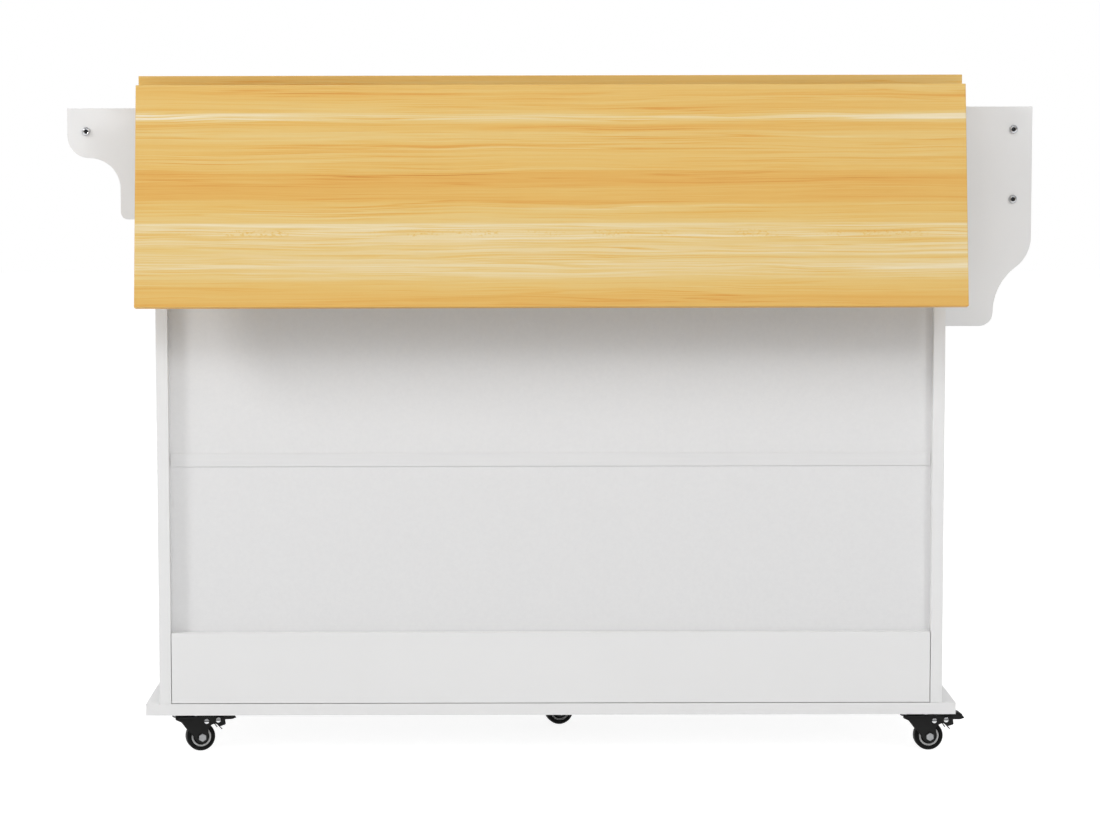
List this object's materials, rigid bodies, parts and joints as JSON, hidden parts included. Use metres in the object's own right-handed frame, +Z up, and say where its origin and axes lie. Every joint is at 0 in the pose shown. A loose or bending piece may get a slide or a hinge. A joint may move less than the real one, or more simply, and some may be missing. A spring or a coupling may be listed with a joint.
{
  "type": "rolling kitchen island",
  "caption": "Rolling kitchen island with wooden worktop, fold-up drop leaf, white cabinet with doors and drawers, towel rack, spice rack and swivelling casters.",
  "frame": {"origin": "on the floor, at the centre of the bounding box's footprint with the leaf hanging", "axes": "+Z up, +X along the worktop towards the towel rack, +Y towards the drop leaf at the back; doors and drawers face -Y"},
  "size_m": [1.322, 0.5634, 0.93],
  "materials": {
    "wood_top": "satin",
    "white_board": "satin",
    "white_plastic": "satin",
    "zinc_steel": "satin",
    "black_metal": "satin",
    "black_tyre": "matte"
  },
  "bodies": {
    "carcass": {"worktop": "wood_top", "base_board": "white_board", "shelf_pins": "zinc_steel", "side_panel_left": "white_board", "partition_left": "white_board", "shelves": "white_board", "side_panel_right": "white_board", "partition_right": "white_board", "top_stretchers": "white_board", "back_rail_lower": "white_board", "back_rail_upper": "white_board", "back_panel_lower": "white_board", "back_panel_upper": "white_board", "back_joining_strip": "white_plastic", "bracket_wall_arms": "zinc_steel", "towel_brackets": "white_board", "rack_screws": "zinc_steel", "towel_bar": "zinc_steel", "spice_end_plates": "white_board", "spice_rails": "zinc_steel", "spice_shelves": "white_board", "door_hinge_frame_leaves": "zinc_steel", "drawer_runner_outers": "zinc_steel", "caster_plates": "black_metal", "caster_screws": "zinc_steel"},
    "door_left": {"door_left": "white_board", "door_left_knob": "zinc_steel", "door_left_hinge_leaves": "zinc_steel"},
    "door_right": {"door_right": "white_board", "door_right_knob": "zinc_steel", "door_right_hinge_leaves": "zinc_steel"},
    "drawer_1": {"drawer_1_front": "white_board", "drawer_1_knob": "zinc_steel", "drawer_1_box": "white_board", "drawer_1_runners": "zinc_steel"},
    "drawer_2": {"drawer_2_front": "white_board", "drawer_2_knob": "zinc_steel", "drawer_2_box": "white_board", "drawer_2_runners": "zinc_steel"},
    "drawer_3": {"drawer_3_front": "white_board", "drawer_3_knob": "zinc_steel", "drawer_3_box": "white_board", "drawer_3_runners": "zinc_steel"},
    "leaf": {"drop_leaf": "wood_top", "bracket_leaf_arms": "zinc_steel"},
    "struts": {"bracket_struts": "zinc_steel"},
    "caster_1_swivel": {"caster_1_fork": "black_metal"},
    "caster_1_wheel": {"caster_1_wheel": "black_tyre"},
    "caster_1_pedal": {"caster_1_pedal": "black_metal"},
    "caster_2_swivel": {"caster_2_fork": "black_metal"},
    "caster_2_wheel": {"caster_2_wheel": "black_tyre"},
    "caster_2_pedal": {"caster_2_pedal": "black_metal"},
    "caster_3_swivel": {"caster_3_fork": "black_metal"},
    "caster_3_wheel": {"caster_3_wheel": "black_tyre"},
    "caster_3_pedal": {"caster_3_pedal": "black_metal"},
    "caster_4_swivel": {"caster_4_fork": "black_metal"},
    "caster_4_wheel": {"caster_4_wheel": "black_tyre"},
    "caster_4_pedal": {"caster_4_pedal": "black_metal"},
    "caster_5_swivel": {"caster_5_fork": "black_metal"},
    "caster_5_wheel": {"caster_5_wheel": "black_tyre"}
  },
  "joints": [
    {"name": "leaf_fold", "type": "hinge", "parent": "carcass", "child": "leaf", "pos_m": [0, 0.20428, 0.903], "axis": [1, 0, 0], "range_deg": [0, 79.9]},
    {"name": "strut_fold", "type": "hinge", "parent": "carcass", "child": "struts", "pos_m": [0, 0.20428, 0.798], "axis": [1, 0, 0], "range_deg": [0, 114.87]},
    {"name": "door_left_swing", "type": "hinge", "parent": "carcass", "child": "door_left", "pos_m": [-0.5195, -0.26122, 0.56], "axis": [0, 0, -1], "range_deg": [0, 110]},
    {"name": "door_right_swing", "type": "hinge", "parent": "carcass", "child": "door_right", "pos_m": [0.5195, -0.26122, 0.56], "axis": [0, 0, 1], "range_deg": [0, 110]},
    {"name": "drawer_1_slide", "type": "slide", "parent": "carcass", "child": "drawer_1", "axis": [0, -1, 0], "range_m": [0, 0.27]},
    {"name": "drawer_2_slide", "type": "slide", "parent": "carcass", "child": "drawer_2", "axis": [0, -1, 0], "range_m": [0, 0.27]},
    {"name": "drawer_3_slide", "type": "slide", "parent": "carcass", "child": "drawer_3", "axis": [0, -1, 0], "range_m": [0, 0.27]},
    {"name": "caster_1_swivel", "type": "hinge", "parent": "carcass", "child": "caster_1_swivel", "pos_m": [0.504, 0.15528, 0.0477], "axis": [0, 0, 1], "continuous": true},
    {"name": "caster_1_spin", "type": "hinge", "parent": "caster_1_swivel", "child": "caster_1_wheel", "pos_m": [0.48574, 0.15004, 0.02], "axis": [-0.2756, 0.9613, 0], "continuous": true},
    {"name": "caster_1_brake", "type": "hinge", "parent": "caster_1_swivel", "child": "caster_1_pedal", "pos_m": [0.47949, 0.14825, 0.042], "axis": [0.2756, -0.9613, 0], "range_deg": [0, 8]},
    {"name": "caster_2_swivel", "type": "hinge", "parent": "carcass", "child": "caster_2_swivel", "pos_m": [-0.504, 0.15528, 0.0477], "axis": [0, 0, 1], "continuous": true},
    {"name": "caster_2_spin", "type": "hinge", "parent": "caster_2_swivel", "child": "caster_2_wheel", "pos_m": [-0.52295, 0.15396, 0.02], "axis": [-0.0698, 0.9976, 0], "continuous": true},
    {"name": "caster_2_brake", "type": "hinge", "parent": "caster_2_swivel", "child": "caster_2_pedal", "pos_m": [-0.52944, 0.1535, 0.042], "axis": [0.0698, -0.9976, 0], "range_deg": [0, 8]},
    {"name": "caster_3_swivel", "type": "hinge", "parent": "carcass", "child": "caster_3_swivel", "pos_m": [0.504, -0.23872, 0.0477], "axis": [0, 0, 1], "continuous": true},
    {"name": "caster_3_spin", "type": "hinge", "parent": "caster_3_swivel", "child": "caster_3_wheel", "pos_m": [0.48529, -0.24202, 0.02], "axis": [-0.1736, 0.9848, 0], "continuous": true},
    {"name": "caster_3_brake", "type": "hinge", "parent": "caster_3_swivel", "child": "caster_3_pedal", "pos_m": [0.47889, -0.24315, 0.042], "axis": [0.1736, -0.9848, 0], "range_deg": [0, 8]},
    {"name": "caster_4_swivel", "type": "hinge", "parent": "carcass", "child": "caster_4_swivel", "pos_m": [-0.504, -0.23872, 0.0477], "axis": [0, 0, 1], "continuous": true},
    {"name": "caster_4_spin", "type": "hinge", "parent": "caster_4_swivel", "child": "caster_4_wheel", "pos_m": [-0.52271, -0.24202, 0.02], "axis": [-0.1736, 0.9848, 0], "continuous": true},
    {"name": "caster_4_brake", "type": "hinge", "parent": "caster_4_swivel", "child": "caster_4_pedal", "pos_m": [-0.52911, -0.24315, 0.042], "axis": [0.1736, -0.9848, 0], "range_deg": [0, 8]},
    {"name": "caster_5_swivel", "type": "hinge", "parent": "carcass", "child": "caster_5_swivel", "pos_m": [0.004, -0.04172, 0.0477], "axis": [0, 0, 1], "continuous": true},
    {"name": "caster_5_spin", "type": "hinge", "parent": "caster_5_swivel", "child": "caster_5_wheel", "pos_m": [-0.01451, -0.04599, 0.02], "axis": [-0.225, 0.9744, 0], "continuous": true}
  ],
  "couplings": [
    {"joint": "strut_fold", "follows": "leaf_fold", "ratio": 1.4375}
  ]
}
